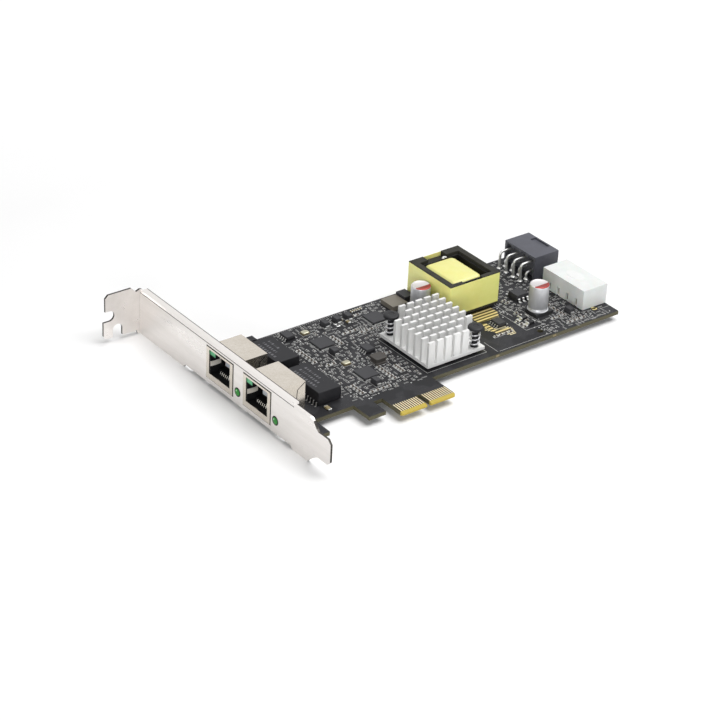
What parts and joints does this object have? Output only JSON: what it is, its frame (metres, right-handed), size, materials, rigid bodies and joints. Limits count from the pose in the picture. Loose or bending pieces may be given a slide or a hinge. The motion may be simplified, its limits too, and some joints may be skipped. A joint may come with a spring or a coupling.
{
  "type": "network interface card",
  "caption": "Plug-in network card: bare board with card-edge tongue, slot bracket, shielded sockets, pinned heat sink, taped transformer, can capacitors and wire headers.",
  "frame": {"origin": "middle of the card edge's key notch, on the card's bottom edge, in the component face", "axes": "+X along the card away from the bracket, +Y up the card from its edge, +Z out of the component face"},
  "size_m": [0.1752, 0.1197, 0.0198],
  "materials": {
    "solder_mask": "matte dark solder mask over glass epoxy",
    "gold_plating": "thin gold plating",
    "bracket_steel": "zinc-plated sheet steel",
    "shield_nickel": "nickel-plated sheet",
    "socket_plastic": "black moulded nylon",
    "green_lens": "green translucent plastic",
    "clear_lens": "clear translucent plastic",
    "package_black": "moulded epoxy",
    "tinned_metal": "tin-plated leads",
    "sink_aluminium": "satin aluminium",
    "thermal_rubber": "soft thermal pad",
    "push_pin_plastic": "black nylon",
    "spring_steel": "bright spring wire",
    "ferrite": "dark pressed ferrite",
    "yellow_tape": "yellow polyester tape",
    "bobbin_plastic": "black moulded bobbin",
    "can_aluminium": "drawn aluminium can with a red quarter",
    "header_gray": "dark moulded nylon",
    "header_white": "natural nylon",
    "paper_white": "blank paper",
    "coil_brown": "brown pressed powder",
    "block_beige": "pale moulded block",
    "ceramic_tan": "fired ceramic",
    "ceramic_white": "pale lidded ceramic"
  },
  "bodies": {
    "root": {"bracket_screws": "tinned_metal", "bridge_body": "package_black", "bridge_leads": "tinned_metal", "capacitor_1_base": "bobbin_plastic", "capacitor_1_can": "can_aluminium", "capacitor_2_base": "bobbin_plastic", "capacitor_2_can": "can_aluminium", "chip_part_bodies": "ceramic_tan", "chip_part_caps": "tinned_metal", "circuit_board": "solder_mask", "controller_chip": "package_black", "crystals": "ceramic_white", "diodes": "package_black", "edge_contacts": "gold_plating", "gold_areas": "gold_plating", "heat_sink": "sink_aluminium", "leaded_packages": "package_black", "leadless_packages": "package_black", "magnetics_1": "package_black", "magnetics_1_leads": "tinned_metal", "magnetics_2": "package_black", "magnetics_2_leads": "tinned_metal", "magnetics_block": "package_black", "package_leads": "tinned_metal", "pale_block": "block_beige", "port_lights": "green_lens", "power_coil": "coil_brown", "power_header_housing": "header_gray", "power_header_pins": "tinned_metal", "push_pin_1": "push_pin_plastic", "push_pin_2": "push_pin_plastic", "push_pin_spring_1": "spring_steel", "push_pin_spring_2": "spring_steel", "signal_header_housing": "header_white", "signal_header_pins": "tinned_metal", "signal_header_sticker": "paper_white", "slot_bracket": "bracket_steel", "socket_1_body": "socket_plastic", "socket_1_fingers": "shield_nickel", "socket_1_left_window": "green_lens", "socket_1_right_window": "clear_lens", "socket_1_shield": "shield_nickel", "socket_1_wires": "gold_plating", "socket_2_body": "socket_plastic", "socket_2_fingers": "shield_nickel", "socket_2_left_window": "green_lens", "socket_2_right_window": "clear_lens", "socket_2_shield": "shield_nickel", "socket_2_wires": "gold_plating", "tall_block": "package_black", "thermal_pad": "thermal_rubber", "transformer_bobbin": "bobbin_plastic", "transformer_core": "ferrite", "transformer_pins": "tinned_metal", "transformer_tape": "yellow_tape", "transformer_winding": "yellow_tape"}
  },
  "joints": []
}
